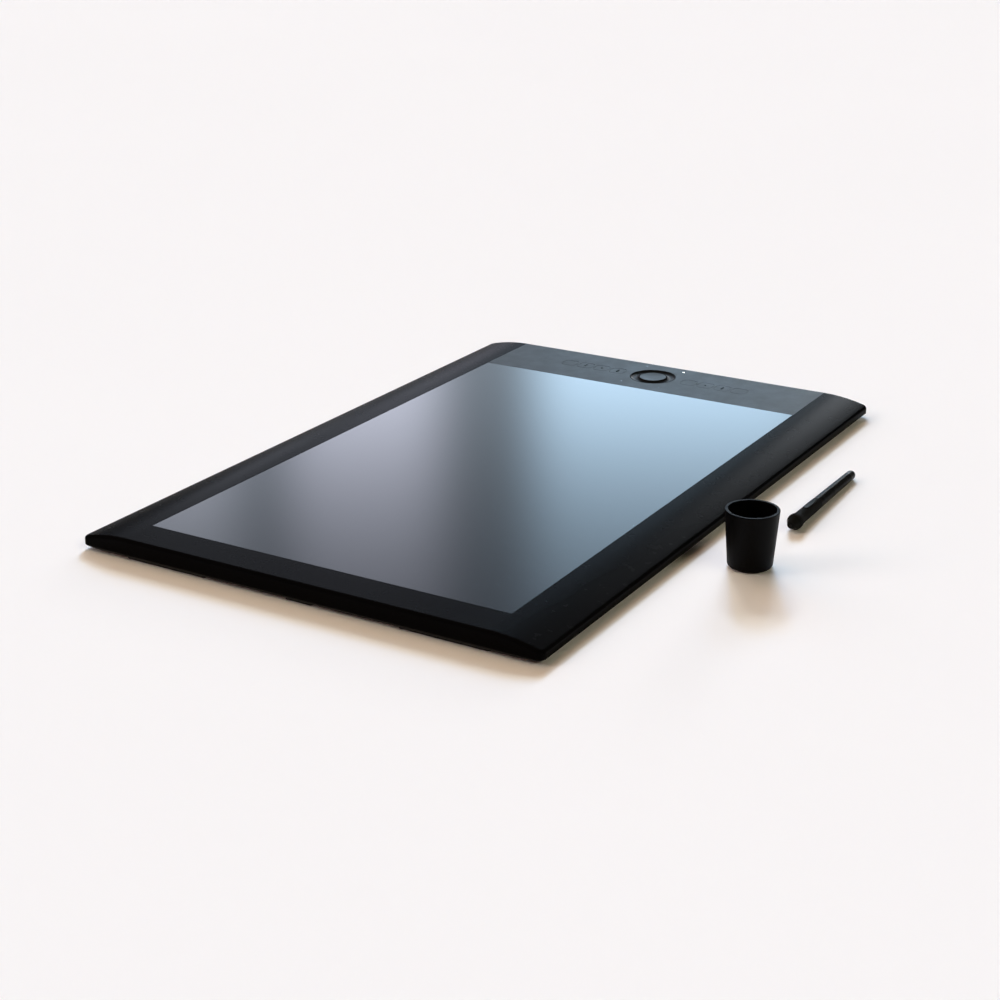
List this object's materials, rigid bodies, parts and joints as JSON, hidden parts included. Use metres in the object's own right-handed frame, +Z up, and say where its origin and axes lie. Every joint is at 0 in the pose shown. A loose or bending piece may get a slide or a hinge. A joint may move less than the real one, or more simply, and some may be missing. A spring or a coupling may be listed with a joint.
{
  "type": "graphics tablet",
  "caption": "Slim pen display tablet with rounded long rails, a key strip and touch ring at one short end, with its pen and tapered pen cup.",
  "frame": {"origin": "on the table, under the middle of the tablet's housing, at the bottom face of its centre foot", "axes": "+X towards the near short edge, away from the key strip; +Y towards the long side where the pen and cup stand; +Z up"},
  "size_m": [0.633, 0.4905, 0.0474],
  "materials": {
    "soft_touch": "fine-grained soft-touch satin, black",
    "rear_plastic": "textured matt moulding, black",
    "screen_glass": "etched semi-gloss glass over a dark screen",
    "lcd": "smooth",
    "clear_plastic": "clear",
    "sheet_metal": "plated sheet",
    "circuit_board": "solder mask",
    "strip_plastic": "satin, dark grey",
    "ring_gloss": "gloss black",
    "light_pipe": "clear",
    "switch_metal": "plated",
    "ribbon": "polyimide film",
    "socket_steel": "plated",
    "switch_body": "moulded",
    "screw_steel": "black oxide",
    "foot_rubber": "matt rubber",
    "pen_plastic": "satin black",
    "pen_rubber": "soft matt rubber",
    "pen_switch": "satin dark grey",
    "nib_plastic": "hard plastic",
    "ferrite": "ferrite with enamelled wire",
    "cup_soft_touch": "soft-touch, black"
  },
  "bodies": {
    "tablet": {"top_cover": "soft_touch", "rear_cover": "rear_plastic", "cover_glass": "screen_glass", "lcd_panel": "lcd", "light_guide": "clear_plastic", "backlight_tray": "sheet_metal", "sensor_board": "circuit_board", "shield_plate": "sheet_metal", "strip_panel": "strip_plastic", "touch_ring": "ring_gloss", "led_pipes": "light_pipe", "key_board": "circuit_board", "dome_switches": "switch_metal", "main_board": "circuit_board", "board_shield": "sheet_metal", "key_ribbon": "ribbon", "display_ribbon": "ribbon", "usb_ports": "socket_steel", "power_switch": "switch_body", "housing_screws": "screw_steel", "foot_centre": "foot_rubber", "foot_near_left": "foot_rubber", "foot_near_middle": "foot_rubber", "foot_near_right": "foot_rubber", "foot_far_left": "foot_rubber", "foot_far_middle": "foot_rubber", "foot_far_right": "foot_rubber"},
    "key_1": {"key_1": "strip_plastic"},
    "key_2": {"key_2": "strip_plastic"},
    "key_3": {"key_3": "strip_plastic"},
    "key_4": {"key_4": "strip_plastic"},
    "key_5": {"key_5": "strip_plastic"},
    "key_6": {"key_6": "strip_plastic"},
    "key_7": {"key_7": "strip_plastic"},
    "key_8": {"key_8": "strip_plastic"},
    "centre_button": {"centre_button": "strip_plastic"},
    "power_button": {"power_button": "rear_plastic"},
    "pen": {"pen_nose": "pen_plastic", "pen_grip": "pen_rubber", "pen_barrel": "pen_plastic", "pen_tail": "pen_plastic", "pen_coil": "ferrite", "pen_board": "circuit_board"},
    "pen_nib": {"pen_nib": "nib_plastic"},
    "pen_side_switch": {"pen_side_switch": "pen_switch"},
    "cup": {"pen_cup": "cup_soft_touch", "cup_weight": "sheet_metal", "cup_pad": "foot_rubber"}
  },
  "joints": [
    {"name": "key_1_press", "type": "slide", "parent": "tablet", "child": "key_1", "axis": [0, 0, -1], "range_m": [0, 0.0006], "stiffness_N_per_m": 1000},
    {"name": "key_2_press", "type": "slide", "parent": "tablet", "child": "key_2", "axis": [0, 0, -1], "range_m": [0, 0.0006], "stiffness_N_per_m": 1000},
    {"name": "key_3_press", "type": "slide", "parent": "tablet", "child": "key_3", "axis": [0, 0, -1], "range_m": [0, 0.0006], "stiffness_N_per_m": 1000},
    {"name": "key_4_press", "type": "slide", "parent": "tablet", "child": "key_4", "axis": [0, 0, -1], "range_m": [0, 0.0006], "stiffness_N_per_m": 1000},
    {"name": "key_5_press", "type": "slide", "parent": "tablet", "child": "key_5", "axis": [0, 0, -1], "range_m": [0, 0.0006], "stiffness_N_per_m": 1000},
    {"name": "key_6_press", "type": "slide", "parent": "tablet", "child": "key_6", "axis": [0, 0, -1], "range_m": [0, 0.0006], "stiffness_N_per_m": 1000},
    {"name": "key_7_press", "type": "slide", "parent": "tablet", "child": "key_7", "axis": [0, 0, -1], "range_m": [0, 0.0006], "stiffness_N_per_m": 1000},
    {"name": "key_8_press", "type": "slide", "parent": "tablet", "child": "key_8", "axis": [0, 0, -1], "range_m": [0, 0.0006], "stiffness_N_per_m": 1000},
    {"name": "centre_button_press", "type": "slide", "parent": "tablet", "child": "centre_button", "axis": [0, 0, -1], "range_m": [0, 0.0006], "stiffness_N_per_m": 1333.3},
    {"name": "power_button_press", "type": "slide", "parent": "tablet", "child": "power_button", "axis": [1, 0, 0], "range_m": [0, 0.0005], "stiffness_N_per_m": 2000},
    {"name": "pen_lift", "type": "slide", "parent": "tablet", "child": "pen", "axis": [0, 0, 1], "range_m": [0, 0.06]},
    {"name": "nib_press", "type": "slide", "parent": "pen", "child": "pen_nib", "axis": [-0.9996, -0.0209, -0.0188], "range_m": [0, 0.0004], "stiffness_N_per_m": 2500},
    {"name": "side_switch_rock", "type": "hinge", "parent": "pen", "child": "pen_side_switch", "pos_m": [-0.04251, 0.26012, 0.00779], "axis": [0.0209, -0.9998, 0], "range_deg": [-3, 3], "stiffness_Nm_per_rad": 0.09},
    {"name": "cup_lift", "type": "slide", "parent": "tablet", "child": "cup", "axis": [0, 0, 1], "range_m": [0, 0.08]}
  ]
}
